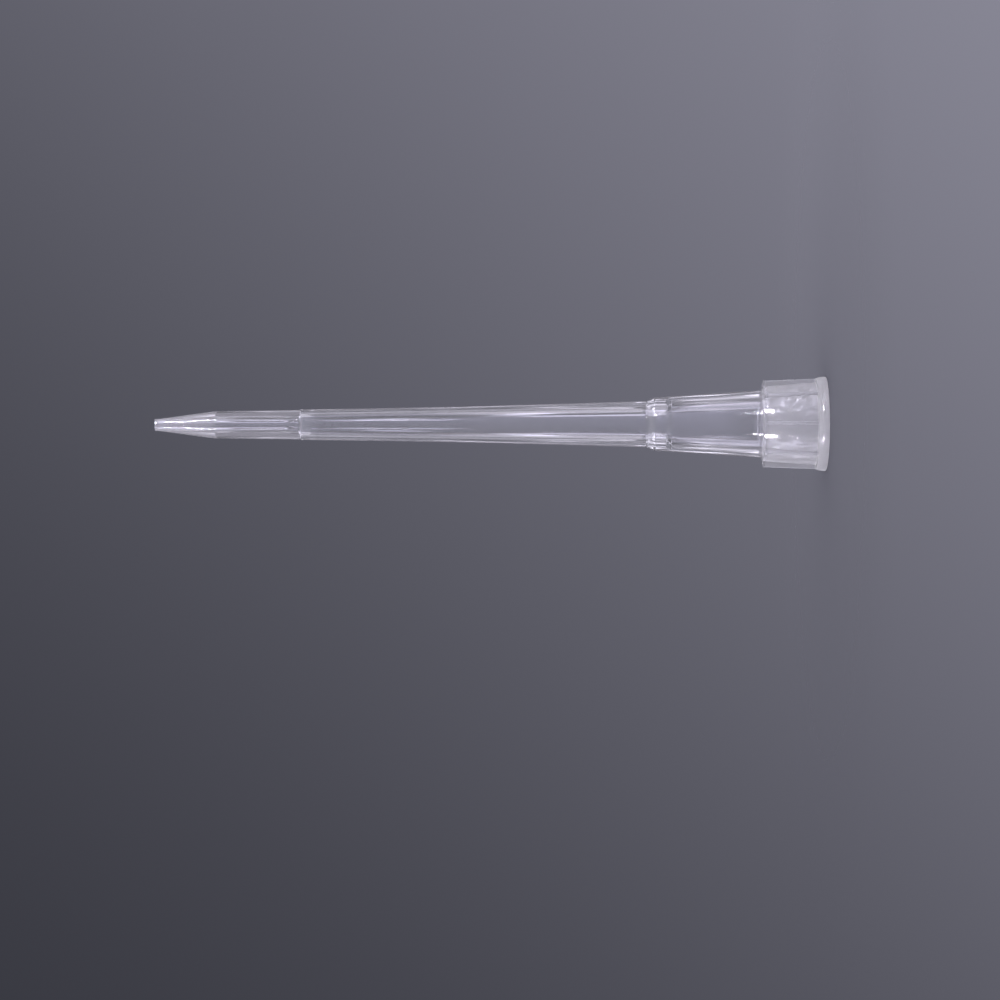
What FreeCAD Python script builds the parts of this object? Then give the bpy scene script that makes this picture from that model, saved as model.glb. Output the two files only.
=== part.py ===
"""A slim pipette tip, injection moulded in one piece from clear polypropylene.

The tip is modelled standing on its rim with the nozzle up: +Z runs along its axis and the origin is
the centre of the rim's end face. Heights are measured from that face. All sizes are millimetres.

From the rim upwards the tip is a flared rim, a collar with eight thin ribs round the socket that the
pipette pushes into, a thick-walled upper body, a short shoulder, a long barrel with slightly hollow
sides, a narrower lower body and the fine nozzle cone. One stepped bore runs through all of it.
"""

import FreeCAD, Part
import os

import Sketcher

NODE = "pipette_tip"
SHEET = "sizes"

# Every size that can be set by itself: name, value, what it is.
SIZES = (
    # rim and collar, outside
    ("rim_height", 0.70, "height of the rim round the socket's mouth"),
    ("rim_radius", 3.22, "rim, at its end face"),
    ("rim_flank_height", 0.42, "height of the rim's steep flank"),
    ("rim_flank_radius", 3.19, "rim, at the top of its flank"),
    ("rim_top_radius", 3.10, "rim, where its bevel ends and the collar starts"),
    ("rim_rounding", 0.06, "rounded outer edge of the end face"),
    ("collar_height", 3.68, "collar, from the rim to the upper body"),
    ("collar_rim_radius", 2.84, "collar wall between the ribs, at the rim"),
    ("collar_end_radius", 2.53, "collar wall between the ribs, at its far end"),
    ("collar_end_slope", 0.167, "fall of the collar's end face for each millimetre outwards"),
    ("rib_count", 8, "ribs round the collar"),
    ("rib_width", 0.20, "rib, across"),
    ("rib_rim_radius", 3.08, "rib tip, at the rim"),
    ("rib_end_radius", 2.94, "rib tip, at the far end"),
    ("rib_root_depth", 0.30, "how far a rib is rooted in the collar wall"),
    # upper body, shoulder, barrel, lower body and nozzle, outside
    ("upper_length", 7.32, "upper body"),
    ("upper_wide_radius", 2.29, "upper body, at the collar"),
    ("upper_slim_radius", 1.80, "upper body, at the shoulder"),
    ("shoulder_length", 0.50, "slope from the upper body down to the barrel"),
    ("shoulder_rounding", 0.15, "rounding of the shoulder's wide edge"),
    ("barrel_length", 23.55, "barrel"),
    ("barrel_wide_radius", 1.565, "barrel, at the shoulder"),
    ("barrel_slim_radius", 1.025, "barrel, at the lower body"),
    ("barrel_hollow", 0.06, "how far the barrel's side is hollowed at half its length"),
    ("step_length", 0.05, "fine ring step between barrel and lower body"),
    ("lower_length", 5.75, "lower body"),
    ("lower_wide_radius", 1.00, "lower body, at the ring step"),
    ("lower_slim_radius", 0.925, "lower body, at the nozzle"),
    ("nozzle_length", 3.90, "nozzle cone"),
    ("nozzle_tip_radius", 0.41, "nozzle cone, at its small end"),
    ("nozzle_land_length", 0.25, "straight end of the nozzle"),
    # socket and bore
    ("mouth_radius", 2.25, "socket, at the end face"),
    ("lead_in_length", 0.45, "bevelled lead-in of the socket"),
    ("lead_in_radius", 1.95, "socket, where the lead-in ends"),
    ("entry_length", 0.85, "taper from the lead-in to the sealing land"),
    ("land_radius", 1.80, "sealing land, the straight wall that grips the pipette"),
    ("land_length", 1.20, "sealing land"),
    ("floor_radius", 1.64, "socket, at its floor, level with the rib tips' far end"),
    ("floor_bevel_length", 0.25, "bevel from the socket's floor into the upper bore"),
    ("upper_bore_wide_radius", 1.585, "upper bore, at the socket"),
    ("upper_bore_slim_radius", 1.265, "upper bore, at the inner shoulder"),
    ("inner_shoulder_setback", 0.88, "inner shoulder, from the outer shoulder towards the rim"),
    ("inner_shoulder_length", 0.32, "inner shoulder"),
    ("inner_shoulder_rounding", 0.10, "rounding of the inner shoulder's edges"),
    ("barrel_bore_wide_radius", 1.055, "barrel bore, at the inner shoulder"),
    ("barrel_bore_slim_radius", 0.62, "barrel bore, at the ring step"),
    ("inner_taper_length", 1.15, "taper from the barrel bore to the lower bore"),
    ("lower_bore_wide_radius", 0.375, "lower bore, at the taper"),
    ("lower_bore_slim_radius", 0.37, "lower bore, at the nozzle cone"),
    ("orifice_radius", 0.22, "orifice, at the nozzle's end"),
)


class Size:
    """A length with its value now and the spreadsheet expression that drives it."""

    def __init__(self, value, text):
        self.value = value
        self.text = text

    def __add__(self, other):
        return Size(self.value + other.value, f"({self.text} + {other.text})")

    def __sub__(self, other):
        return Size(self.value - other.value, f"({self.text} - {other.text})")

    def __mul__(self, other):
        return Size(self.value * other.value, f"({self.text} * {other.text})")

    def half(self):
        return Size(self.value / 2, f"({self.text} / 2)")


def make_sheet(doc):
    """Puts SIZES into the document's spreadsheet and returns them by name."""
    sheet = doc.addObject("Spreadsheet::Sheet", SHEET)
    for row, (name, value, meaning) in enumerate(SIZES, start=1):
        sheet.set(f"A{row}", meaning)
        sheet.set(f"B{row}", str(value))
        sheet.setAlias(f"B{row}", name)
    doc.recompute()
    return {name: Size(float(value), f"{SHEET}.{name}") for name, value, _ in SIZES}


def origin_plane(body, role):
    """The body's own origin plane or axis with that role."""
    return next(o for o in body.Origin.OriginFeatures if o.Role == role)


def add_sketch(body, name, role):
    """An empty sketch on one of the body's origin planes."""
    sketch = body.newObject("Sketcher::SketchObject", name)
    sketch.AttachmentSupport = (origin_plane(body, role), [""])
    sketch.MapMode = "FlatFace"
    return sketch


def drive(sketch, kind, *target_and_size):
    """Adds one dimension whose value follows a Size."""
    *target, size = target_and_size
    index = sketch.addConstraint(Sketcher.Constraint(kind, *target, size.value))
    sketch.setExpression(f"Constraints[{index}]", size.text)


def middle_pole(corners, side, hollow):
    """Where the middle control point of a hollow side lies: its two Sizes.

    A parabola's middle lies halfway between its chord and that point, so the point is twice as far in.
    """
    (start_radius, start_height), (end_radius, end_height) = corners[side], corners[side + 1]
    radius = (start_radius + end_radius).half() - hollow - hollow
    return radius, (start_height + end_height).half()


def draw_profile(sketch, corners, hollow_side=None, hollow=None):
    """Draws a closed outline through (radius, height) corners, each driven by its two Sizes.

    A radius of None puts the corner on the axis and a height of None on the end face. The side that
    starts at corner number hollow_side is a parabola, hollowed towards the axis, instead of a line.
    """
    points = [
        FreeCAD.Vector(radius.value if radius else 0, height.value if height else 0, 0)
        for radius, height in corners
    ]
    count = len(points)
    for i, point in enumerate(points):
        following = points[(i + 1) % count]
        if i == hollow_side:
            pole = middle_pole(corners, i, hollow)
            middle = FreeCAD.Vector(pole[0].value, pole[1].value, 0)
            side = Part.BSplineCurve()
            side.buildFromPolesMultsKnots([point, middle, following], [3, 3], [0, 1], False, 2)
        else:
            side = Part.LineSegment(point, following)
        sketch.addGeometry(side, False)
    for i in range(count):
        sketch.addConstraint(Sketcher.Constraint("Coincident", (i - 1) % count, 2, i, 1))
    for i, (radius, height) in enumerate(corners):
        if radius is None:
            sketch.addConstraint(Sketcher.Constraint("PointOnObject", i, 1, -2))
        else:
            drive(sketch, "DistanceX", -1, 1, i, 1, radius)
        if height is None:
            sketch.addConstraint(Sketcher.Constraint("PointOnObject", i, 1, -1))
        else:
            drive(sketch, "DistanceY", -1, 1, i, 1, height)
    if hollow_side is not None:
        sketch.exposeInternalGeometry(hollow_side)
        # the three control points follow the outline's sides in the sketch
        middle_circle = count + 1
        drive(sketch, "DistanceX", -1, 1, middle_circle, 3, pole[0])
        drive(sketch, "DistanceY", -1, 1, middle_circle, 3, pole[1])


def heights(size):
    """Heights above the end face of the places where one stretch of the tip meets the next."""
    h = {"rim": size["rim_height"]}
    h["upper"] = h["rim"] + size["collar_height"]
    h["collar_wall"] = h["upper"] - end_fall(size, size["collar_end_radius"])
    h["rib_end"] = h["upper"] - end_fall(size, size["rib_end_radius"])
    h["shoulder"] = h["upper"] + size["upper_length"]
    h["barrel"] = h["shoulder"] + size["shoulder_length"]
    h["step"] = h["barrel"] + size["barrel_length"]
    h["lower"] = h["step"] + size["step_length"]
    h["nozzle"] = h["lower"] + size["lower_length"]
    h["nozzle_land"] = h["nozzle"] + size["nozzle_length"]
    h["top"] = h["nozzle_land"] + size["nozzle_land_length"]
    h["entry"] = size["lead_in_length"]
    h["land"] = h["entry"] + size["entry_length"]
    h["land_end"] = h["land"] + size["land_length"]
    h["floor"] = h["rib_end"]
    h["upper_bore"] = h["floor"] + size["floor_bevel_length"]
    h["inner_shoulder_end"] = h["shoulder"] - size["inner_shoulder_setback"]
    h["inner_shoulder"] = h["inner_shoulder_end"] - size["inner_shoulder_length"]
    h["inner_taper_end"] = h["step"] + size["inner_taper_length"]
    return h


def end_fall(size, radius):
    """How far the collar's end face has fallen from the upper body at this radius."""
    return (radius - size["upper_wide_radius"]) * size["collar_end_slope"]


def add_outer_form(body, size, h):
    """The tip's outside, solid right through, turned from one half outline."""
    corners = (
        (None, None),
        (size["rim_radius"], None),
        (size["rim_flank_radius"], size["rim_flank_height"]),
        (size["rim_top_radius"], h["rim"]),
        (size["collar_rim_radius"], h["rim"]),
        (size["collar_end_radius"], h["collar_wall"]),
        (size["upper_wide_radius"], h["upper"]),
        (size["upper_slim_radius"], h["shoulder"]),
        (size["barrel_wide_radius"], h["barrel"]),
        (size["barrel_slim_radius"], h["step"]),
        (size["lower_wide_radius"], h["lower"]),
        (size["lower_slim_radius"], h["nozzle"]),
        (size["nozzle_tip_radius"], h["nozzle_land"]),
        (size["nozzle_tip_radius"], h["top"]),
        (None, h["top"]),
    )
    barrel_side = 8
    sketch = add_sketch(body, "outer_outline", "XZ_Plane")
    draw_profile(sketch, corners, barrel_side, size["barrel_hollow"])
    turned = body.newObject("PartDesign::Revolution", "outer_form")
    turned.Profile = (sketch, [""])
    turned.ReferenceAxis = (sketch, ["V_Axis"])
    turned.Angle = 360
    return turned


def add_ribs(body, size, h):
    """One thin rib along the collar, rooted in its wall and in the rim, then repeated round it."""
    root_at_rim = size["collar_rim_radius"] - size["rib_root_depth"]
    root_at_end = size["collar_end_radius"] - size["rib_root_depth"]
    foot = h["rim"].half()
    corners = (
        (root_at_rim, foot),
        (size["rib_rim_radius"], foot),
        (size["rib_end_radius"], h["rib_end"]),
        (root_at_end, h["upper"] - end_fall(size, root_at_end)),
    )
    sketch = add_sketch(body, "rib_outline", "XZ_Plane")
    draw_profile(sketch, corners)
    rib = body.newObject("PartDesign::Pad", "rib")
    rib.Profile = (sketch, [""])
    rib.Midplane = True
    rib.setExpression("Length", size["rib_width"].text)
    ribs = body.newObject("PartDesign::PolarPattern", "ribs")
    ribs.Originals = [rib]
    ribs.Axis = (origin_plane(body, "Z_Axis"), [""])
    ribs.Angle = 360
    ribs.setExpression("Occurrences", size["rib_count"].text)
    body.Tip = ribs
    return ribs


def add_bore(body, size, h):
    """The socket, its sealing land and the stepped bore, cut right through as one turned form."""
    corners = (
        (None, None),
        (size["mouth_radius"], None),
        (size["lead_in_radius"], h["entry"]),
        (size["land_radius"], h["land"]),
        (size["land_radius"], h["land_end"]),
        (size["floor_radius"], h["floor"]),
        (size["upper_bore_wide_radius"], h["upper_bore"]),
        (size["upper_bore_slim_radius"], h["inner_shoulder"]),
        (size["barrel_bore_wide_radius"], h["inner_shoulder_end"]),
        (size["barrel_bore_slim_radius"], h["step"]),
        (size["lower_bore_wide_radius"], h["inner_taper_end"]),
        (size["lower_bore_slim_radius"], h["nozzle"]),
        (size["orifice_radius"], h["top"]),
        (None, h["top"]),
    )
    sketch = add_sketch(body, "bore_outline", "XZ_Plane")
    draw_profile(sketch, corners)
    bore = body.newObject("PartDesign::Groove", "bore")
    bore.Profile = (sketch, [""])
    bore.ReferenceAxis = (sketch, ["V_Axis"])
    bore.Angle = 360
    return bore


def ring_edges(feature, rings):
    """Names of the feature's edges that are whole circles about Z at these (radius, height)s."""
    close = 1e-4
    names = []
    for number, edge in enumerate(feature.Shape.Edges, start=1):
        if not isinstance(edge.Curve, Part.Circle):
            continue
        for radius, height in rings:
            same_radius = abs(edge.Curve.Radius - radius.value) < close
            same_height = abs(edge.Curve.Center.z - height.value) < close
            if same_radius and same_height:
                names.append(f"Edge{number}")
    return names


def add_rounding(body, base, name, rings, radius):
    """Rounds the ring edges at these places."""
    rounding = body.newObject("PartDesign::Fillet", name)
    rounding.Base = (base, ring_edges(base, rings))
    rounding.setExpression("Radius", radius.text)
    body.Tip = rounding
    return rounding


def build_tip(doc, size):
    """The whole tip as one body."""
    body = doc.addObject("PartDesign::Body", NODE)
    body.Label = NODE
    body.Placement = FreeCAD.Placement()
    h = heights(size)
    add_outer_form(body, size, h)
    doc.recompute()
    add_ribs(body, size, h)
    doc.recompute()
    whole = body.Shape.Volume
    bore = add_bore(body, size, h)
    doc.recompute()
    if not body.Shape.Volume < whole:
        raise RuntimeError("the bore has cut nothing")
    shoulder = ((size["upper_slim_radius"], h["shoulder"]),)
    last = add_rounding(body, bore, "shoulder_rounding", shoulder, size["shoulder_rounding"])
    doc.recompute()
    inner_shoulder = (
        (size["upper_bore_slim_radius"], h["inner_shoulder"]),
        (size["barrel_bore_wide_radius"], h["inner_shoulder_end"]),
    )
    rounding = size["inner_shoulder_rounding"]
    last = add_rounding(body, last, "inner_shoulder_rounding", inner_shoulder, rounding)
    doc.recompute()
    end_face = ((size["rim_radius"], Size(0.0, "0")),)
    add_rounding(body, last, "rim_rounding", end_face, size["rim_rounding"])
    doc.recompute()
    return body


def check(doc, body):
    """Stops unless every feature was made and the tip is one valid solid."""
    for item in doc.Objects:
        if {"Invalid", "Error"} & set(item.State):
            raise RuntimeError(f"{item.Name} failed: {item.State}")
    shape = body.Shape
    if shape.isNull() or not shape.isValid() or len(shape.Solids) != 1:
        raise RuntimeError(f"{body.Label} is not one valid solid")


def main():
    doc = FreeCAD.newDocument("pipette_tip_model")
    size = make_sheet(doc)
    body = build_tip(doc, size)
    check(doc, body)
    os.makedirs("parts", exist_ok=True)
    body.Shape.exportStep(f"parts/{NODE}.step")
    tip = body.Shape.Solids[0]
    box = tip.BoundBox
    print(f"{NODE}: {tip.Volume:.2f} mm3, {box.XLength:.3f} x {box.YLength:.3f} x {box.ZLength:.3f} mm")
    print(f"centre of mass {tip.CenterOfMass.z:.3f} mm above the end face")


main()
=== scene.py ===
"""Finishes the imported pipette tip: a smooth clear moulding, its plastic, a plain studio, a camera.

The tip stands on its rim with the nozzle up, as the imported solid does: +Z runs along its axis, and
the origin is the centre of the rim's end face. Sizes are in millimetres and meshes in metres.
"""

import logging
import math
from collections.abc import Iterable
from dataclasses import dataclass, field
from typing import Any

import bmesh
import bpy
from mathutils import Matrix, Vector


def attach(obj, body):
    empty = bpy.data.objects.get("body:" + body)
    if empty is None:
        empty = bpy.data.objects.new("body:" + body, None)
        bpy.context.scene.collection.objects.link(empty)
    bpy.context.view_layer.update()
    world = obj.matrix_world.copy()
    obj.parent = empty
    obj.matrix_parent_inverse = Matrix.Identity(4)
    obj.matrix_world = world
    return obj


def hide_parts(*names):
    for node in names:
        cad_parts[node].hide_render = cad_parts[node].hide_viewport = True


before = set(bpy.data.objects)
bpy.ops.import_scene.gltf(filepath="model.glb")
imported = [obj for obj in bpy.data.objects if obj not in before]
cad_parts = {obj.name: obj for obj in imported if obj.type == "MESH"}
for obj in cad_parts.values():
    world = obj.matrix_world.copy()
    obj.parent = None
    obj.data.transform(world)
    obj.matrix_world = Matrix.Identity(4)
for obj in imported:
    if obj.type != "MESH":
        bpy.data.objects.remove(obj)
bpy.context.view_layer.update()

LOG = logging.getLogger("pipette_tip")
MM = 0.001
NODE = "pipette_tip"
BODY = "root"
SLACK = 0.01  # two places this close count as one, in millimetres
Colour = tuple[float, float, float]
Span = tuple[float, float]


@dataclass(frozen=True)
class Corner:
    """One corner of the tip's half outline, in millimetres.

    Args:
        radius: distance from the axis.
        height: height above the rim's end face.
        rounding: radius of the rounded edge there, or 0 for a clean one.
    """

    radius: float
    height: float
    rounding: float = 0.0

    def point(self) -> Vector:
        """The corner in the XZ plane, in metres."""
        return Vector((self.radius * MM, 0.0, self.height * MM))


@dataclass(frozen=True)
class Rim:
    """The flared rim round the socket's mouth, in millimetres."""

    height: float = 0.70
    end_radius: float = 3.22
    flank_height: float = 0.42
    flank_radius: float = 3.19
    top_radius: float = 3.10
    end_rounding: float = 0.06
    flank_rounding: float = 0.90

    def corners(self) -> list[Corner]:
        """The rim's corners, from the end face upwards."""
        return [
            Corner(self.end_radius, 0.0, self.end_rounding),
            Corner(self.flank_radius, self.flank_height, self.flank_rounding),
            Corner(self.top_radius, self.height),
        ]


@dataclass(frozen=True)
class Collar:
    """The collar wall between the ribs, from the rim to the upper body, in millimetres."""

    foot: float = Rim.height
    height: float = 3.68
    foot_radius: float = 2.84
    end_radius: float = 2.53
    end_slope: float = 0.167
    upper_body_radius: float = 2.29
    inner_corner_rounding: float = 0.10

    @property
    def top(self) -> float:
        """Height at which the upper body starts."""
        return self.foot + self.height

    def end_height(self, radius: float) -> float:
        """Height of the collar's sloping end face at a radius.

        Args:
            radius: distance from the axis, in millimetres.

        Returns:
            The height in millimetres.
        """
        return self.top - (radius - self.upper_body_radius) * self.end_slope

    def wall_radius(self, height: float) -> float:
        """Radius of the wall between the ribs at a height.

        Args:
            height: height above the end face, in millimetres.

        Returns:
            The radius in millimetres.
        """
        rise = self.end_height(self.end_radius) - self.foot
        share = (height - self.foot) / rise
        return self.foot_radius + (self.end_radius - self.foot_radius) * share

    def corners(self, rib_foot_radius: float) -> list[Corner]:
        """The collar's corners, from the rim upwards.

        Args:
            rib_foot_radius: where a rib's edge lands on the rim.

        Returns:
            The corners in order.
        """
        return [
            Corner(rib_foot_radius, self.foot),
            Corner(self.foot_radius, self.foot),
            Corner(self.end_radius, self.end_height(self.end_radius)),
            Corner(self.upper_body_radius, self.top, self.inner_corner_rounding),
        ]


@dataclass(frozen=True)
class Shaft:
    """Everything outside above the collar, in millimetres.

    It has the upper body, the shoulder, the hollow-sided barrel with a fine bead at its slim end, the
    lower body and the nozzle cone with its straight end.
    """

    foot: float = Collar.foot + Collar.height
    upper_length: float = 7.32
    upper_slim_radius: float = 1.80
    shoulder_length: float = 0.50
    shoulder_rounding: float = 0.45
    barrel_length: float = 23.55
    barrel_wide_radius: float = 1.565
    barrel_slim_radius: float = 1.025
    barrel_hollow: float = 0.06
    step_length: float = 0.05
    lower_length: float = 5.75
    lower_wide_radius: float = 1.00
    lower_slim_radius: float = 0.925
    nozzle_length: float = 3.90
    nozzle_tip_radius: float = 0.41
    nozzle_land_length: float = 0.25
    barrel_rounding: float = 0.40
    bead_height: float = 0.03
    bead_length: float = 0.14
    bead_flat: float = 0.084
    bead_rounding: float = 0.03
    fine_rounding: float = 0.02
    nozzle_rounding: float = 0.40
    nozzle_land_rounding: float = 0.10
    end_rounding: float = 0.03

    @property
    def shoulder(self) -> float:
        """Height of the shoulder's wide edge."""
        return self.foot + self.upper_length

    @property
    def barrel(self) -> float:
        """Height at which the barrel starts."""
        return self.shoulder + self.shoulder_length

    @property
    def step(self) -> float:
        """Height of the fine ring step."""
        return self.barrel + self.barrel_length

    @property
    def nozzle(self) -> float:
        """Height at which the nozzle cone starts."""
        return self.step + self.step_length + self.lower_length

    @property
    def top(self) -> float:
        """Height of the nozzle's end."""
        return self.nozzle + self.nozzle_length + self.nozzle_land_length

    @property
    def barrel_foot(self) -> Corner:
        """The corner at which the barrel's hollow side starts."""
        return Corner(self.barrel_wide_radius, self.barrel, self.barrel_rounding)

    def corners(self) -> list[Corner]:
        """The shaft's corners, from the upper body to the nozzle's end."""
        bead_radius = self.barrel_slim_radius + self.bead_height
        nozzle_land = self.nozzle + self.nozzle_length
        return [
            Corner(self.upper_slim_radius, self.shoulder, self.shoulder_rounding),
            self.barrel_foot,
            Corner(self.barrel_slim_radius, self.step - self.bead_length, self.fine_rounding),
            Corner(bead_radius, self.step - self.bead_flat, self.bead_rounding),
            Corner(bead_radius, self.step, self.bead_rounding),
            Corner(self.lower_wide_radius, self.step + self.step_length, self.fine_rounding),
            Corner(self.lower_slim_radius, self.nozzle, self.nozzle_rounding),
            Corner(self.nozzle_tip_radius, nozzle_land, self.nozzle_land_rounding),
            Corner(self.nozzle_tip_radius, self.top, self.end_rounding),
        ]


@dataclass(frozen=True)
class Bore:
    """The socket, its sealing land and the stepped bore, in millimetres."""

    mouth_radius: float = 2.25
    mouth_rounding: float = 0.04
    lead_in_length: float = 0.45
    lead_in_radius: float = 1.95
    entry_length: float = 0.85
    land_radius: float = 1.80
    land_length: float = 1.20
    land_rounding: float = 0.10
    floor_radius: float = 1.64
    floor_bevel_length: float = 0.25
    socket_rounding: float = 0.08
    upper_wide_radius: float = 1.585
    upper_slim_radius: float = 1.265
    inner_shoulder_setback: float = 0.88
    inner_shoulder_length: float = 0.32
    inner_shoulder_rounding: float = 0.12
    barrel_wide_radius: float = 1.055
    barrel_slim_radius: float = 0.620
    step_neck_radius: float = 0.430
    step_neck_length: float = 0.12
    step_rounding: float = 0.06
    inner_taper_length: float = 1.15
    inner_taper_rounding: float = 0.10
    lower_wide_radius: float = 0.375
    lower_slim_radius: float = 0.370
    nozzle_rounding: float = 0.30
    orifice_radius: float = 0.22
    orifice_rounding: float = 0.02

    def corners(self, floor: float, shaft: Shaft) -> list[Corner]:
        """The bore's corners, from the orifice down to the mouth.

        Args:
            floor: height of the socket's floor.
            shaft: the outside above the collar, whose steps the bore follows.

        Returns:
            The corners in order.
        """
        land = self.lead_in_length + self.entry_length
        shoulder_end = shaft.shoulder - self.inner_shoulder_setback
        shoulder = shoulder_end - self.inner_shoulder_length
        taper_end = shaft.step + self.inner_taper_length
        return [
            Corner(self.orifice_radius, shaft.top, self.orifice_rounding),
            Corner(self.lower_slim_radius, shaft.nozzle, self.nozzle_rounding),
            Corner(self.lower_wide_radius, taper_end, self.inner_taper_rounding),
            Corner(self.step_neck_radius, shaft.step + self.step_neck_length, self.step_rounding),
            Corner(self.barrel_slim_radius, shaft.step, self.step_rounding),
            Corner(self.barrel_wide_radius, shoulder_end, self.inner_shoulder_rounding),
            Corner(self.upper_slim_radius, shoulder, self.inner_shoulder_rounding),
            Corner(self.upper_wide_radius, floor + self.floor_bevel_length, self.socket_rounding),
            Corner(self.floor_radius, floor, self.socket_rounding),
            Corner(self.land_radius, land + self.land_length, self.land_rounding),
            Corner(self.land_radius, land, self.land_rounding),
            Corner(self.lead_in_radius, self.lead_in_length, self.socket_rounding),
            Corner(self.mouth_radius, 0.0, self.mouth_rounding),
        ]


@dataclass(frozen=True)
class Ribs:
    """The thin ribs along the collar, raised out of its wall, in millimetres.

    A rib grows out of the wall's faces that lie within half_turn of its middle plane.
    """

    count: int = 8
    width: float = 0.20
    foot_radius: float = 3.08
    end_radius: float = 2.94
    edge_rounding: float = 0.07
    rounding_steps: int = 4
    half_turn: float = math.radians(2.0)
    turn_slack: float = math.radians(0.2)
    weld_distance: float = 0.002
    corner_angle: float = math.radians(40.0)

    def raise_from(self, bm: bmesh.types.BMesh, collar: Collar) -> None:
        """Raises every rib out of the collar wall, joined to the rim at its foot.

        Args:
            bm: the turned tip, in metres, turned in steps that fit half_turn.
            collar: the collar that the ribs stand on.
        """
        for number in range(self.count):
            turn = math.tau * number / self.count
            self._raise_one(bm, collar, Matrix.Rotation(-turn, 3, "Z"))
        bmesh.ops.remove_doubles(bm, verts=bm.verts[:], dist=self.weld_distance * MM)

    def _raise_one(self, bm: bmesh.types.BMesh, collar: Collar, to_front: Matrix) -> None:
        """Raises one rib.

        Args:
            bm: the turned tip.
            collar: the collar that the ribs stand on.
            to_front: turns this rib onto the +X side.
        """
        back = to_front.inverted()
        wall = [f for f in bm.faces if self._is_under_rib(f, collar, to_front)]
        roots = {v for f in wall for v in f.verts}
        foot_ring = [v for v in bm.verts if self._is_on_foot_ring(v.co, collar, to_front)]
        for vert in [*roots, *foot_ring]:
            local = to_front @ vert.co
            radius = math.hypot(local.x, local.y)
            local.y = self._across(math.atan2(local.y, local.x))
            if vert in roots:
                local.x = math.sqrt(radius**2 - local.y**2)
            else:
                local.x = self.foot_radius * MM
            vert.co = back @ local
        raised = bmesh.ops.extrude_face_region(bm, geom=wall)["geom"]
        bmesh.ops.delete(bm, geom=wall, context="FACES")
        for vert in (g for g in raised if isinstance(g, bmesh.types.BMVert)):
            local = to_front @ vert.co
            if self._is_at_foot(vert.co, collar):
                local.x = self.foot_radius * MM
            else:
                local.x = self.end_radius * MM
                local.z = collar.end_height(self.end_radius) * MM
            vert.co = back @ local
        buried = [f for f in bm.faces if self._is_buried(f, collar, to_front)]
        bmesh.ops.delete(bm, geom=buried, context="FACES")

    def _is_near(self, point: Vector, to_front: Matrix, slack: float = 0.0) -> bool:
        """Whether a point lies within half_turn, and some slack, of the rib's middle plane."""
        local = to_front @ point
        return local.x > 0 and abs(math.atan2(local.y, local.x)) < self.half_turn + slack

    def _is_at_foot(self, point: Vector, collar: Collar) -> bool:
        """Whether a point lies level with the collar's foot."""
        return abs(point.z / MM - collar.foot) < SLACK

    def _is_under_rib(self, face: bmesh.types.BMFace, collar: Collar, to_front: Matrix) -> bool:
        """Whether a face is a part of the collar wall that the rib grows out of.

        Args:
            face: any face of the tip.
            collar: the collar that the ribs stand on.
            to_front: turns this rib onto the +X side.

        Returns:
            True for the faces to raise.
        """
        middle = face.calc_center_median()
        height = middle.z / MM
        if not collar.foot < height < collar.top:
            return False
        away = math.hypot(middle.x, middle.y) / MM - collar.wall_radius(height)
        return abs(away) < SLACK and self._is_near(middle, to_front)

    def _is_on_foot_ring(self, point: Vector, collar: Collar, to_front: Matrix) -> bool:
        """Whether a point lies where the rib's outer edge lands on the rim.

        Args:
            point: any point of the tip.
            collar: the collar that the ribs stand on.
            to_front: turns this rib onto the +X side.

        Returns:
            True for the points that the rib's foot has to meet.
        """
        on_ring = abs(math.hypot(point.x, point.y) / MM - self.foot_radius) < SLACK
        near = self._is_near(point, to_front, self.turn_slack)
        return on_ring and near and self._is_at_foot(point, collar)

    def _is_buried(self, face: bmesh.types.BMFace, collar: Collar, to_front: Matrix) -> bool:
        """Whether a face lies inside the moulding, between the rib's foot and the rim.

        Args:
            face: any face of the tip.
            collar: the collar that the ribs stand on.
            to_front: turns this rib onto the +X side.

        Returns:
            True for the faces to delete.
        """
        outermost = (self.foot_radius + SLACK) * MM
        return all(
            self._is_at_foot(v.co, collar)
            and self._is_near(v.co, to_front, self.turn_slack)
            and (to_front @ v.co).x < outermost
            for v in face.verts
        )

    def _across(self, angle: float) -> float:
        """Distance from the rib's middle plane for a vertex that was turned by this angle.

        Args:
            angle: the vertex's angle from the rib's middle, in radians.

        Returns:
            The distance in metres, so that the rib is as wide at its root as at its edge.
        """
        return angle / self.half_turn * self.width / 2 * MM

    def round_edges(self, bm: bmesh.types.BMesh, collar: Collar) -> None:
        """Rounds the ribs' long edges and the outer edge of the collar's end face.

        Args:
            bm: the tip with its ribs raised.
            collar: the collar that the ribs stand on.
        """
        lowest = (collar.foot + SLACK) * MM
        highest = (collar.top - SLACK) * MM
        outside = (collar.end_radius - SLACK) * MM
        edges = [
            e
            for e in bm.edges
            if e.is_manifold
            and e.is_convex
            and e.calc_face_angle() > self.corner_angle
            and lowest < sum(v.co.z for v in e.verts) / 2 < highest
            and min(math.hypot(v.co.x, v.co.y) for v in e.verts) > outside
        ]
        bmesh.ops.bevel(
            bm,
            geom=edges,
            offset=self.edge_rounding * MM,
            offset_type="OFFSET",
            segments=self.rounding_steps,
            profile=0.5,
            affect="EDGES",
            clamp_overlap=True,
            material=-1,
        )


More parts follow.
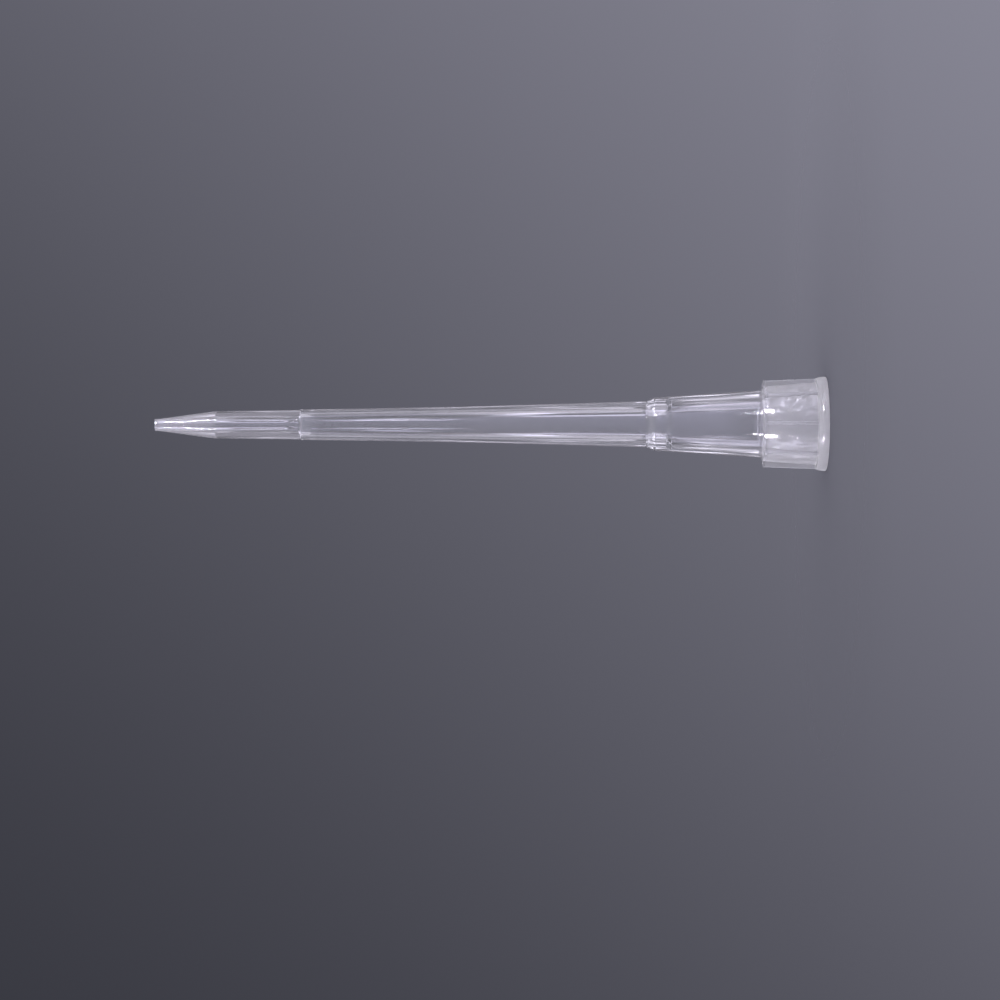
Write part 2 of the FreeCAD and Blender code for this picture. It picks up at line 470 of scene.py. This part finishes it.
@dataclass
class PipetteTip:
    """The whole moulding: the outline is drawn, turned about the axis and given its ribs.

    Args:
        rim, collar, shaft, bore, ribs: the stretches of the tip.
        turn_steps: facets round the axis.
        barrel_steps: facets along the barrel's hollow side.
        rounding_steps: facets of a rounded corner.
        slight_rounding_steps: facets of one that turns less than slight_turn.
        slight_turn: the angle below which a corner is slight.
        longest_rounding: the share of a corner's shorter side that its rounding may take.
        weld_distance: points closer than this are joined, in millimetres.
        sharp_angle: edges that turn more than this stay crisp.
    """

    rim: Rim = field(default_factory=Rim)
    collar: Collar = field(default_factory=Collar)
    shaft: Shaft = field(default_factory=Shaft)
    bore: Bore = field(default_factory=Bore)
    ribs: Ribs = field(default_factory=Ribs)
    turn_steps: int = 360
    barrel_steps: int = 24
    rounding_steps: int = 4
    slight_rounding_steps: int = 2
    slight_turn: float = math.radians(12.0)
    longest_rounding: float = 0.45
    weld_distance: float = 0.0005
    sharp_angle: float = math.radians(50.0)

    def build(self) -> bpy.types.Object:
        """Makes the moulding as one closed mesh.

        Returns:
            The piece, riding on the tip's body and standing for its CAD node.
        """
        bm = bmesh.new()
        self._draw_outline(bm)
        self._turn(bm)
        self.ribs.raise_from(bm, self.collar)
        bmesh.ops.recalc_face_normals(bm, faces=bm.faces[:])
        self.ribs.round_edges(bm, self.collar)
        self._finish_shading(bm)
        mesh = bpy.data.meshes.new("clear_moulding")
        bm.to_mesh(mesh)
        bm.free()
        piece = bpy.data.objects.new("clear_moulding", mesh)
        bpy.context.scene.collection.objects.link(piece)
        weighted = piece.modifiers.new("even_shading", "WEIGHTED_NORMAL")
        weighted.mode = "FACE_AREA"
        weighted.keep_sharp = True
        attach(piece, BODY)
        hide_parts(NODE)
        return piece

    def _draw_outline(self, bm: bmesh.types.BMesh) -> None:
        """Draws the closed half outline in the XZ plane, with its rounded corners.

        Args:
            bm: an empty bmesh.
        """
        socket_floor = self.collar.end_height(self.ribs.end_radius)
        corners = [
            *self.rim.corners(),
            *self.collar.corners(self.ribs.foot_radius),
            *self.shaft.corners(),
            *self.bore.corners(socket_floor, self.shaft),
        ]
        verts = [bm.verts.new(corner.point()) for corner in corners]
        edges = [bm.edges.new((a, b)) for a, b in zip(verts, verts[1:] + verts[:1])]
        self._hollow_barrel(bm, edges[corners.index(self.shaft.barrel_foot)])
        for corner in corners:
            if corner.rounding > 0:
                self._round(bm, corner)

    def _hollow_barrel(self, bm: bmesh.types.BMesh, side: bmesh.types.BMEdge) -> None:
        """Divides the barrel's straight side and hollows it towards the axis as a parabola.

        Args:
            bm: the outline.
            side: the barrel's side, still one edge.
        """
        bottom = min(v.co.z for v in side.verts)
        length = side.calc_length()
        made = bmesh.ops.subdivide_edges(bm, edges=[side], cuts=self.barrel_steps - 1)
        for vert in {g for g in made["geom_inner"] if isinstance(g, bmesh.types.BMVert)}:
            share = (vert.co.z - bottom) / length
            vert.co.x -= 4 * share * (1 - share) * self.shaft.barrel_hollow * MM

    def _round(self, bm: bmesh.types.BMesh, corner: Corner) -> None:
        """Rounds one corner of the outline.

        Args:
            bm: the outline.
            corner: the corner, with its rounding.
        """
        place = corner.point()
        radius = corner.rounding * MM
        vert = min(bm.verts, key=lambda v: (v.co - place).length_squared)
        ways = [(e.other_vert(vert).co - vert.co).normalized() for e in vert.link_edges]
        turn = math.pi - ways[0].angle(ways[1])
        steps = self.rounding_steps if turn > self.slight_turn else self.slight_rounding_steps
        longest = self.longest_rounding * min(e.calc_length() for e in vert.link_edges)
        bmesh.ops.bevel(
            bm,
            geom=[vert],
            offset=min(radius * math.tan(turn / 2), longest),
            offset_type="OFFSET",
            segments=steps,
            profile=0.5,
            affect="VERTICES",
            clamp_overlap=False,
            material=-1,
        )

    def _turn(self, bm: bmesh.types.BMesh) -> None:
        """Turns the outline about the axis into a closed mesh.

        Args:
            bm: the outline.
        """
        bmesh.ops.spin(
            bm,
            geom=bm.verts[:] + bm.edges[:],
            axis=(0, 0, 1),
            cent=(0, 0, 0),
            angle=math.tau,
            steps=self.turn_steps,
            use_merge=True,
        )
        bmesh.ops.remove_doubles(bm, verts=bm.verts[:], dist=self.weld_distance * MM)
        bmesh.ops.recalc_face_normals(bm, faces=bm.faces[:])

    def _finish_shading(self, bm: bmesh.types.BMesh) -> None:
        """Smooths every face and marks the clean edges sharp.

        Args:
            bm: the finished shape.
        """
        bmesh.ops.recalc_face_normals(bm, faces=bm.faces[:])
        for face in bm.faces:
            face.smooth = True
        for edge in bm.edges:
            edge.smooth = not (edge.is_manifold and edge.calc_face_angle() > self.sharp_angle)


@dataclass(frozen=True)
class Signal:
    """A number that flows through a node tree, so that shader maths reads as plain Python.

    Args:
        tree: the nodes that the number lives in.
        socket: the output that carries it.
    """

    tree: "Nodes"
    socket: bpy.types.NodeSocket

    def _maths(self, operation: str, *values: "Signal | float") -> "Signal":
        """Adds one Math node.

        Args:
            operation: the Math node's operation.
            values: its inputs in order.

        Returns:
            The node's result.
        """
        return self.tree.add("ShaderNodeMath", {"operation": operation}, dict(enumerate(values)))

    def __add__(self, other: "Signal | float") -> "Signal":
        """Sum."""
        return self._maths("ADD", self, other)

    __radd__ = __add__

    def __sub__(self, other: "Signal | float") -> "Signal":
        """Difference."""
        return self._maths("SUBTRACT", self, other)

    def __rsub__(self, other: float) -> "Signal":
        """Difference from a number."""
        return self._maths("SUBTRACT", other, self)

    def __mul__(self, other: "Signal | float") -> "Signal":
        """Product."""
        return self._maths("MULTIPLY", self, other)

    __rmul__ = __mul__

    def __truediv__(self, other: "Signal | float") -> "Signal":
        """Quotient."""
        return self._maths("DIVIDE", self, other)

    def __rtruediv__(self, other: float) -> "Signal":
        """Quotient of a number by this one."""
        return self._maths("DIVIDE", other, self)

    def power(self, exponent: float) -> "Signal":
        """The number raised to a power."""
        return self._maths("POWER", self, exponent)

    def greatest(self, other: "Signal | float") -> "Signal":
        """The larger of two numbers."""
        return self._maths("MAXIMUM", self, other)

    def least(self, other: "Signal | float") -> "Signal":
        """The smaller of two numbers."""
        return self._maths("MINIMUM", self, other)

    def size(self) -> "Signal":
        """The number without its sign."""
        return self._maths("ABSOLUTE", self)

    def angle_to(self, other: "Signal") -> "Signal":
        """The angle whose sine and cosine are this number and the other, in radians."""
        return self._maths("ARCTAN2", self, other)

    def band(self, low: float, high: float, soft: float) -> "Signal":
        """A soft-edged window over this number.

        Args:
            low: where the window opens.
            high: where it closes.
            soft: width of each soft edge.

        Returns:
            1 inside the window and 0 outside it.
        """
        opening = self.ramp(low - soft / 2, low + soft / 2)
        closing = self.ramp(high - soft / 2, high + soft / 2)
        return opening - closing

    def ramp(self, start: float, full: float) -> "Signal":
        """A smooth step between two values of this number.

        Args:
            start: the number that gives 0.
            full: the number that gives 1, above or below start.

        Returns:
            The step, which stays at 0 and at 1 beyond them.
        """
        return self.tree.add(
            "ShaderNodeMapRange",
            {"interpolation_type": "SMOOTHSTEP", "clamp": True},
            {"Value": self, "From Min": start, "From Max": full, "To Min": 0.0, "To Max": 1.0},
        )


class Nodes:
    """Builds one node tree from a clean start."""

    def __init__(self, tree: bpy.types.NodeTree) -> None:
        """Clears the tree.

        Args:
            tree: the node tree of a material or of the world.
        """
        self.tree = tree
        tree.nodes.clear()

    def node(
        self,
        kind: str,
        settings: dict[str, Any] | None = None,
        inputs: dict[int | str, Any] | None = None,
    ) -> bpy.types.Node:
        """Adds any node.

        Args:
            kind: Blender's name of the node type.
            settings: the node's own settings, set first.
            inputs: values or links for its sockets, by name or number.

        Returns:
            The new node.
        """
        made = self.tree.nodes.new(kind)
        for name, value in (settings or {}).items():
            setattr(made, name, value)
        for name, value in (inputs or {}).items():
            if isinstance(value, Signal):
                value = value.socket
            if isinstance(value, bpy.types.NodeSocket):
                self.tree.links.new(value, made.inputs[name])
            else:
                made.inputs[name].default_value = value
        return made

    def add(
        self,
        kind: str,
        settings: dict[str, Any] | None = None,
        inputs: dict[int | str, Any] | None = None,
        output: int | str = 0,
    ) -> Signal:
        """Adds a node and returns one of its outputs as a Signal.

        Args:
            kind: Blender's name of the node type.
            settings: the node's own settings.
            inputs: values or links for its sockets.
            output: name or number of the output.

        Returns:
            The output as a Signal.
        """
        return Signal(self, self.node(kind, settings, inputs).outputs[output])

    def split(self, vector: bpy.types.NodeSocket) -> tuple[Signal, ...]:
        """A vector's X, Y and Z."""
        parts = self.node("ShaderNodeSeparateXYZ", {}, {0: vector})
        return tuple(Signal(self, parts.outputs[axis]) for axis in "XYZ")

    def blend(
        self, share: Signal | float, first: Signal | Colour, second: Signal | Colour
    ) -> Signal:
        """Mixes two colours.

        Args:
            share: 0 gives the first and 1 the second.
            first: one colour, or the Signal that carries it.
            second: the other.

        Returns:
            The mixed colour.
        """
        # the Mix node has sockets of one name for every kind of value: these are the colours
        first_colour, second_colour, result = 6, 7, 2
        colours = {first_colour: first, second_colour: second}
        inputs = {n: c if isinstance(c, Signal) else (*c, 1.0) for n, c in colours.items()}
        return self.add(
            "ShaderNodeMix", {"data_type": "RGBA"}, {"Factor": share, **inputs}, result
        )


@dataclass(frozen=True)
class Plastic:
    """One grade of the clear plastic's surface.

    Args:
        colour: its tint.
        clarity: share of the light that passes straight on instead of being spread.
        roughness: how much it blurs what shows through it.
    """

    colour: Colour
    clarity: float
    roughness: float

    def shader(
        self, nodes: Nodes, ior: float, blur: Signal, normal: Signal
    ) -> bpy.types.NodeSocket:
        """Makes its shader.

        Args:
            nodes: the material's nodes.
            ior: how strongly the plastic bends light.
            blur: what varies the roughness, as a factor.
            normal: the surface with its fine relief.

        Returns:
            The shader's output.
        """
        made = nodes.node(
            "ShaderNodeBsdfPrincipled",
            {},
            {
                "Base Color": (*self.colour, 1.0),
                "Roughness": blur * self.roughness,
                "IOR": ior,
                "Transmission Weight": self.clarity,
                "Normal": normal,
            },
        )
        return made.outputs[0]


@dataclass(frozen=True)
class Grain:
    """A soft irregularity of the plastic.

    Args:
        along: how close together it lies along the tip, against 1 across it.
        scale: how fine it is, for each metre.
        detail: how many finer layers it has.
    """

    along: float
    scale: float
    detail: float

    def noise(self, nodes: Nodes, place: bpy.types.NodeSocket) -> Signal:
        """Makes its noise.

        Args:
            nodes: the material's nodes.
            place: the Object coordinates.

        Returns:
            The noise, about 0.5 on average.
        """
        stretch = (1.0, 1.0, self.along)
        drawn = nodes.node("ShaderNodeMapping", {}, {"Vector": place, "Scale": stretch})
        return nodes.add(
            "ShaderNodeTexNoise",
            {},
            {"Vector": drawn.outputs[0], "Scale": self.scale, "Detail": self.detail},
        )


@dataclass(frozen=True)
class ClearPolypropylene:
    """Clear moulded polypropylene: glossy in the body and milky in the thick collar and rim.

    A fade runs from the height where it starts to the height where it is full, in millimetres above
    the rim's end face.

    Args:
        ior: how strongly it bends light.
        clear: the clear grade, nearly all of the body.
        milky: the milky grade that is mixed into it.
        clouds, streaks, waves: its irregularities in haze, in blur and in relief.
        swing: the whole swing of clouds and streaks, as a factor about 1.
        collar_fade, rim_fade, nozzle_fade: where each stretch takes over from its neighbour.
        collar_haze: share of the milky grade in the collar and the rim.
        rim_haze: what the rim has more of it.
        nozzle_haze: its share in the nozzle.
        nozzle_blur: what the nozzle's roughness has more than the body's, as a factor.
        collar_blur: what the collar's has more.
        socket_fade: the radius past which the wall isn't wavy, and that where it fully is.
        socket_heights: heights between which the socket's wall is wavy.
        socket_soft: how softly the waves start and end along the wall.
        ripple: how strong the waves are.
    """

    ior: float = 1.49
    clear: Plastic = Plastic((0.93, 0.93, 0.98), 0.915, 0.05)
    milky: Plastic = Plastic((0.98, 0.97, 1.00), 0.20, 0.45)
    clouds: Grain = Grain(0.4, 900.0, 2.0)
    streaks: Grain = Grain(0.06, 1300.0, 0.0)
    waves: Grain = Grain(0.7, 1400.0, 1.0)
    swing: float = 0.4
    collar_fade: Span = (4.7, 3.9)
    rim_fade: Span = (0.80, 0.68)
    nozzle_fade: Span = (41.2, 42.4)
    collar_haze: float = 0.24
    rim_haze: float = 0.20
    nozzle_haze: float = 0.05
    nozzle_blur: float = 0.6
    collar_blur: float = 0.3
    socket_fade: Span = (2.10, 1.95)
    socket_heights: Span = (1.0, 4.1)
    socket_soft: float = 0.6
    ripple: float = 0.150

    def material(self) -> bpy.types.Material:
        """Makes the material.

        Returns:
            The finished plastic.
        """
        made = bpy.data.materials.new("clear_polypropylene")
        made.use_nodes = True
        nodes = Nodes(made.node_tree)
        place = nodes.node("ShaderNodeTexCoord").outputs["Object"]
        across, along, height = (part / MM for part in nodes.split(place))
        radius = (across * across + along * along).power(0.5)
        collar = height.ramp(*self.collar_fade)
        rim = height.ramp(*self.rim_fade)
        nozzle = height.ramp(*self.nozzle_fade)
        cloudy = self._vary(self.clouds.noise(nodes, place))
        streaky = self._vary(self.streaks.noise(nodes, place))
        haze = collar * self.collar_haze + rim * self.rim_haze + nozzle * self.nozzle_haze
        blur = streaky + nozzle * self.nozzle_blur + (collar - rim) * self.collar_blur
        normal = self._relief(nodes, place, radius, height)
        clear = self.clear.shader(nodes, self.ior, blur, normal)
        milky = self.milky.shader(nodes, self.ior, cloudy, normal)
        mixed = nodes.node("ShaderNodeMixShader", {}, {0: haze * cloudy, 1: clear, 2: milky})
        nodes.node("ShaderNodeOutputMaterial", {}, {"Surface": mixed.outputs[0]})
        return made

    def _vary(self, noise: Signal) -> Signal:
        """Turns a noise into a factor that swings about 1."""
        return noise * self.swing + (1.0 - self.swing / 2)

    def _relief(
        self, nodes: Nodes, place: bpy.types.NodeSocket, radius: Signal, height: Signal
    ) -> Signal:
        """Makes the slight waves that the mould left in the socket's wall.

        Args:
            nodes: the material's nodes.
            place: the Object coordinates.
            radius: distance from the axis, in millimetres.
            height: height above the rim's end face, in millimetres.

        Returns:
            The surface's normal.
        """
        inside = radius.ramp(*self.socket_fade)
        socket = inside * height.band(*self.socket_heights, self.socket_soft)
        relief = self.waves.noise(nodes, place) * socket * self.ripple
        return nodes.add(
            "ShaderNodeBump", {}, {"Strength": 1.0, "Distance": MM, "Height": relief}
        )


@dataclass(frozen=True)
class Panel:
    """One upright soft light panel on each side of the tip, as the plastic sees it.

    Args:
        low: its near edge, in degrees from straight behind the tip.
        high: its far edge, in degrees.
        soft: width of its soft sides, in degrees.
        strength: its brightness.
        bottom: level of its lower edge, by default under all that shows.
        top: level of its upper edge, by default over all that shows.
        rise: the most that its soft lower and upper edges take.
    """

    low: float
    high: float
    soft: float
    strength: float
    bottom: float = -1.2
    top: float = 1.2
    rise: float = 0.012

    def glow(self, angle: Signal, level: Signal) -> Signal:
        """Its light in one direction.

        Args:
            angle: the direction's angle from straight behind, in radians.
            level: how far up the direction points.

        Returns:
            The brightness there.
        """
        low, high, soft = (math.radians(a) for a in (self.low, self.high, self.soft))
        rise = min(self.rise, (self.top - self.bottom) / 2)
        upright = level.band(self.bottom, self.top, rise)
        return angle.band(low, high, soft) * upright * self.strength


@dataclass(frozen=True)
class Studio:
    """A plain grey studio with soft light from all round and soft panels at both sides.

    An angle is counted in degrees from straight behind the tip, to either side. A level says how far
    up a direction points: 0 is level, 1 straight up and -1 straight down.

    Args:
        dark, light: the backdrop at its dark and its light end.
        lean: the way in which the backdrop grows lighter.
        spread: how far along that way it changes, to either side of the tip.
        falloff: how late the light comes in, as a power.
        backdrop_side: angles between which the backdrop ends, as the plastic sees it.
        gap: what the plastic sees beyond that.
        wall_side: angles between which the gap turns into the walls.
        walls: the walls at the sides.
        low_levels: levels between which the backdrop starts, from the floor up.
        low: what the plastic sees under it.
        high_levels: levels between which it ends.
        high: what the plastic sees over it.
        end_levels: levels, up or down, between which the bright surfaces above and below come in.
        end_angles: angles between which they come in.
        ends: those bright surfaces.
        fill: strength of the soft light from all round.
        fill_colour: its colour.
        panel_colour: the panels' colour.
        panels: the panels, from behind the tip round to the front.
        collar_panels: low panels, which brighten the thick wall of the collar.
        lamps: a small bright lamp at each side, for the sharp lights on rim and collar.
        floor_reach: radius at which the floor has faded out, in metres.
        floor_solid: share of that radius within which it hasn't begun to fade.
        floor_margin: how much wider than that radius the floor is made.
        floor_painted_light_span: places across the floor where its painted gradient of light and
            shade is darkest and lightest, in metres.
        floor_steps: sides of the round floor.
    """

    dark: Colour = (0.0330, 0.0340, 0.0440)
    light: Colour = (0.312, 0.308, 0.380)
    lean: tuple[float, float, float] = (0.66, 0.0, -0.60)
    spread: float = 0.36
    falloff: float = 1.8
    backdrop_side: Span = (10.8, 11.6)
    gap: Colour = (0.01, 0.01, 0.012)
    wall_side: Span = (34.0, 50.0)
    walls: Colour = (0.02, 0.02, 0.025)
    low_levels: Span = (-0.10, -0.16)
    low: Colour = (0.11, 0.11, 0.125)
    high_levels: Span = (0.12, 0.20)
    high: Colour = (0.16, 0.16, 0.185)
    end_levels: Span = (0.34, 0.54)
    end_angles: Span = (17.19, 45.84)
    ends: Colour = (0.85, 0.82, 0.95)
    fill: float = 1.0
    fill_colour: Colour = (1.00, 0.98, 1.06)
    panel_colour: Colour = (0.92, 0.88, 1.0)
    panels: tuple[Panel, ...] = (
        Panel(7.5, 11.0, 0.8, 0.60, 0.095, 0.120),
        Panel(11.0, 13.0, 0.8, 1.10, -0.050, 0.050),
        Panel(13.0, 15.0, 0.8, 0.49, top=0.010),
        Panel(13.0, 15.0, 0.8, 1.19, 0.050, 0.070),
        Panel(15.0, 33.0, 4.5, 0.41, top=-0.050),
        Panel(17.5, 23.0, 0.8, 1.80, 0.050, 0.070),
        Panel(23.0, 26.0, 0.8, 0.41, -0.010, 0.070),
        Panel(23.0, 48.0, 6.0, 0.22, top=0.090),
        Panel(26.0, 33.0, 1.8, 0.91, -0.075, -0.050),
        Panel(26.0, 48.0, 5.5, 0.27, bottom=0.090),
        Panel(29.0, 43.0, 3.5, 0.41, top=-0.055),
        Panel(43.0, 48.0, 1.2, 0.95, 0.070, 0.090),
        Panel(43.0, 62.0, 4.8, 0.79, 0.050, 0.070),
        Panel(43.0, 75.0, 6.0, 0.14, bottom=0.070),
        Panel(48.0, 95.0, 6.0, 0.38, -0.075, -0.010),
        Panel(48.0, 180.0, 6.0, 0.16, top=-0.075),
        Panel(54.0, 62.0, 2.0, 0.43, -0.030, 0.010),
        Panel(75.0, 120.0, 6.0, 0.58, top=0.070),
        Panel(95.0, 120.0, 6.0, 2.16, -0.010, 0.050),
        Panel(95.0, 120.0, 6.0, 2.16, 0.010, 0.050),
    )
    collar_panels: tuple[Panel, ...] = (
        Panel(11.0, 38.0, 0.8, 2.00, -0.200, -0.168),
        Panel(54.0, 75.0, 2.0, 2.00, -0.205, -0.140),
        Panel(75.0, 130.0, 3.0, 4.00, -0.205, -0.140),
    )
    lamps: Panel = Panel(135.0, 145.0, 1.2, 420.0, 0.225, 0.284)
    floor_reach: float = 0.045
    floor_solid: float = 0.25
    floor_margin: float = 1.1
    floor_painted_light_span: Span = (-0.150, 0.100)
    floor_steps: int = 96

    def build(self) -> None:
        """Sets up the world and the floor."""
        self._make_world()
        self._make_floor()

    def _make_world(self) -> None:
        """Makes the world.

        The camera sees the plain backdrop, matt surfaces get the soft light from all round, and the
        plastic shows the room with its panels.
        """
        world = bpy.data.worlds.new("studio")
        bpy.context.scene.world = world
        world.use_nodes = True
        nodes = Nodes(world.node_tree)
        way = nodes.node("ShaderNodeTexCoord").outputs["Generated"]
        across, behind, level = nodes.split(way)
        angle = across.size().angle_to(behind)
        backdrop = self._backdrop(nodes, way)
        glow: Signal | float = 0.0
        for panel in (*self.panels, *self.collar_panels, self.lamps):
            glow = panel.glow(angle, level) + glow
        plain = self._light(nodes, backdrop, 1.0)
        room = self._light(nodes, self._room(nodes, backdrop, angle, level), 1.0)
        panels = self._light(nodes, (*self.panel_colour, 1.0), glow)
        soft_light = self._light(nodes, (*self.fill_colour, 1.0), self.fill)
        dressed = nodes.node("ShaderNodeAddShader", {}, {0: room, 1: panels})
        rays = nodes.node("ShaderNodeLightPath").outputs
        through = Signal(nodes, rays["Is Transmission Ray"])
        glossy = Signal(nodes, rays["Is Glossy Ray"])
        unscattered = 1.0 - Signal(nodes, rays["Diffuse Depth"]).least(1.0)
        by_plastic = through.greatest(glossy) * unscattered
        unseen = nodes.node(
            "ShaderNodeMixShader", {}, {0: by_plastic, 1: soft_light, 2: dressed.outputs[0]}
        )
        final = nodes.node(
            "ShaderNodeMixShader", {}, {0: rays["Is Camera Ray"], 1: unseen.outputs[0], 2: plain}
        )
        nodes.node("ShaderNodeOutputWorld", {}, {"Surface": final.outputs[0]})

    def _light(
        self, nodes: Nodes, colour: Signal | tuple[float, ...], strength: Signal | float
    ) -> bpy.types.NodeSocket:
        """One light of the world.

        Args:
            nodes: the world's nodes.
            colour: its colour.
            strength: its strength.

        Returns:
            The light's output.
        """
        made = nodes.node("ShaderNodeBackground", {}, {"Color": colour, "Strength": strength})
        return made.outputs[0]

    def _backdrop(self, nodes: Nodes, way: bpy.types.NodeSocket) -> Signal:
        """The backdrop's colour.

        Args:
            nodes: the world's nodes.
            way: the direction looked in.

        Returns:
            A grey that grows lighter along lean.
        """
        turned = {0: way, 1: self.lean}
        lean = nodes.add("ShaderNodeVectorMath", {"operation": "DOT_PRODUCT"}, turned, "Value")
        share = lean.ramp(-self.spread, self.spread).power(self.falloff)
        return nodes.blend(share, self.dark, self.light)

    def _room(self, nodes: Nodes, backdrop: Signal, angle: Signal, level: Signal) -> Signal:
        """The colours of the room that the plastic shows, without its panels.

        Args:
            nodes: the world's nodes.
            backdrop: the backdrop's colour.
            angle: the direction's angle from straight behind, in radians.
            level: how far up the direction points.

        Returns:
            The colour in that direction.
        """
        past_backdrop = angle.ramp(*map(math.radians, self.backdrop_side))
        beside = angle.ramp(*map(math.radians, self.wall_side))
        behind = nodes.blend(past_backdrop, backdrop, self.gap)
        behind = nodes.blend(level.ramp(*self.low_levels), behind, self.low)
        behind = nodes.blend(level.ramp(*self.high_levels), behind, self.high)
        around = nodes.blend(beside, behind, self.walls)
        at_ends = level.size().ramp(*self.end_levels)
        return nodes.blend(
            at_ends * angle.ramp(*map(math.radians, self.end_angles)), around, self.ends
        )

    def _make_floor(self) -> None:
        """Makes the floor that the tip stands on, with a painted gradient of light and shade across
        it, fading into the backdrop.
        """
        bm = bmesh.new()
        radius = self.floor_reach * self.floor_margin
        bmesh.ops.create_circle(bm, cap_ends=True, radius=radius, segments=self.floor_steps)
        mesh = bpy.data.meshes.new("floor")
        bm.to_mesh(mesh)
        bm.free()
        mesh.materials.append(self._floor_material())
        floor = bpy.data.objects.new("floor", mesh)
        bpy.context.scene.collection.objects.link(floor)
        floor.visible_transmission = False
        floor.visible_glossy = False

    def _floor_material(self) -> bpy.types.Material:
        """Makes the floor's matt grey with painted light and shade: darker towards -X and lighter
        towards +X, as the backdrop is.

        Returns:
            The material, clear at the floor's edge.
        """
        made = bpy.data.materials.new("floor_painted_gradient")
        made.use_nodes = True
        nodes = Nodes(made.node_tree)
        place = nodes.node("ShaderNodeTexCoord").outputs["Object"]
        far = nodes.add("ShaderNodeVectorMath", {"operation": "LENGTH"}, {0: place}, "Value")
        fade = far.ramp(self.floor_reach * self.floor_solid, self.floor_reach)
        # painted light and shade: the matt colour runs from the backdrop's dark end to its light end
        # across X, so that the evenly lit floor looks as unevenly lit as the backdrop
        painted_light_share = nodes.split(place)[0].ramp(*self.floor_painted_light_span).power(self.falloff)
        colour = nodes.blend(painted_light_share, self._matt(self.dark), self._matt(self.light))
        matt = nodes.node("ShaderNodeBsdfDiffuse", {}, {"Color": colour}).outputs[0]
        clear = nodes.node("ShaderNodeBsdfTransparent").outputs[0]
        mixed = nodes.node("ShaderNodeMixShader", {}, {0: fade, 1: matt, 2: clear})
        nodes.node("ShaderNodeOutputMaterial", {}, {"Surface": mixed.outputs[0]})
        return made

    def _matt(self, colour: Colour) -> Colour:
        """The matt colour that looks like the given one in the studio's soft light."""
        return tuple(c / (f * self.fill) for c, f in zip(colour, self.fill_colour))


@dataclass(frozen=True)
class CameraStand:
    """The camera, level with the middle of the tip and turned so that the nozzle points left.

    Args:
        distance: how far it stands in front of the tip, in metres.
        height: its height, in metres.
        below: how far it stands below the tip as the camera sees it, in metres.
        lens: its focal length, in millimetres.
        sensor: width of its sensor, in millimetres.
        tilt: how far it is turned from lying square across the tip, in radians.
    """

    distance: float = 0.229
    height: float = 0.022202
    below: float = 0.005140
    lens: float = 120.93
    sensor: float = 36.0
    tilt: float = 0.0016025

    def build(self) -> bpy.types.Object:
        """Makes the camera and makes it the scene's own.

        Returns:
            The camera.
        """
        data = bpy.data.cameras.new("camera")
        data.lens = self.lens
        data.sensor_width = self.sensor
        data.clip_start = 0.01
        data.clip_end = 10.0
        camera = bpy.data.objects.new("camera", data)
        bpy.context.scene.collection.objects.link(camera)
        right = Vector((-math.sin(self.tilt), 0.0, -math.cos(self.tilt)))
        back = Vector((0.0, -1.0, 0.0))
        up = back.cross(right)
        turned = Matrix((right, up, back)).transposed().to_4x4()
        place = Matrix.Translation((-self.below, -self.distance, self.height))
        camera.matrix_world = place @ turned
        bpy.context.scene.camera = camera
        return camera


def main() -> None:
    """Builds the moulding, its finish, the studio and the camera."""
    logging.basicConfig(level=logging.INFO)
    bpy.context.scene.view_settings.view_transform = "Standard"
    CameraStand().build()
    Studio().build()
    tip = PipetteTip().build()
    tip.data.materials.append(ClearPolypropylene().material())
    LOG.info("%s: %d faces", tip.name, len(tip.data.polygons))


if __name__ == "__main__":
    main()
